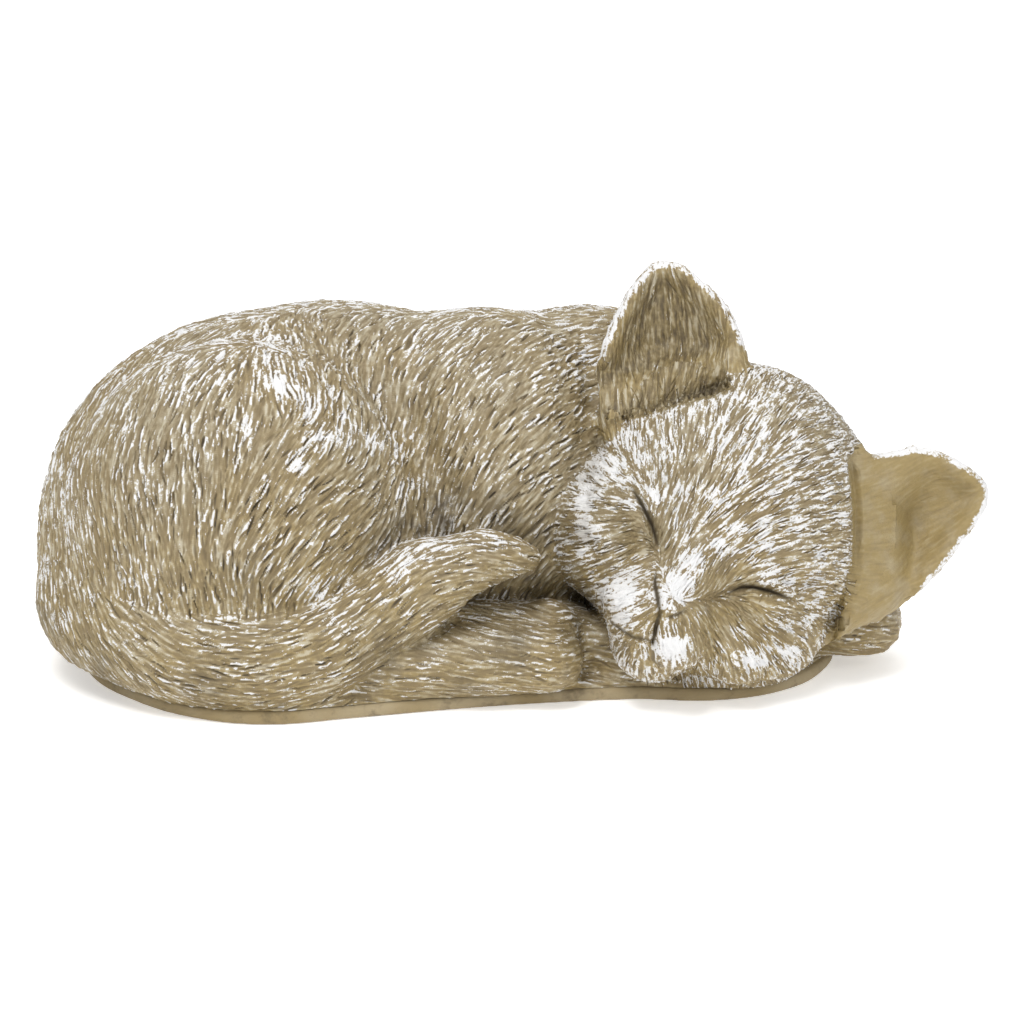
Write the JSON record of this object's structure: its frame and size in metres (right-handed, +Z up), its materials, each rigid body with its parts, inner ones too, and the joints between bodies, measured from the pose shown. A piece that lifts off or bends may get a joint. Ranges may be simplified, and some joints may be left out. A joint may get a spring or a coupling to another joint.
{
  "type": "sleeping cat figurine",
  "caption": "Hollow ceramic figurine of a curled, sleeping kitten with carved fur, for a shelf or a garden.",
  "frame": {"origin": "middle of the footprint, on the surface that the figurine rests on", "axes": "+X from the rump to the head, -Y the side that the face looks to, +Z up"},
  "size_m": [0.2765, 0.1367, 0.1188],
  "materials": {
    "fur_clay": "matt khaki clay with carved fur, dark wash in the grooves and white dry-brushed ridges",
    "ear_clay": "smoother, slightly glossy khaki clay with white dry-brushed rims",
    "base_clay": "matt khaki clay, unpainted below"
  },
  "bodies": {
    "root": {"torso_shell": "fur_clay", "head_shell": "fur_clay", "tail": "fur_clay", "hind_paw": "fur_clay", "near_foreleg": "fur_clay", "far_foreleg": "fur_clay", "far_paw": "fur_clay", "left_ear": "ear_clay", "right_ear": "ear_clay", "base_slab": "base_clay"}
  },
  "joints": []
}
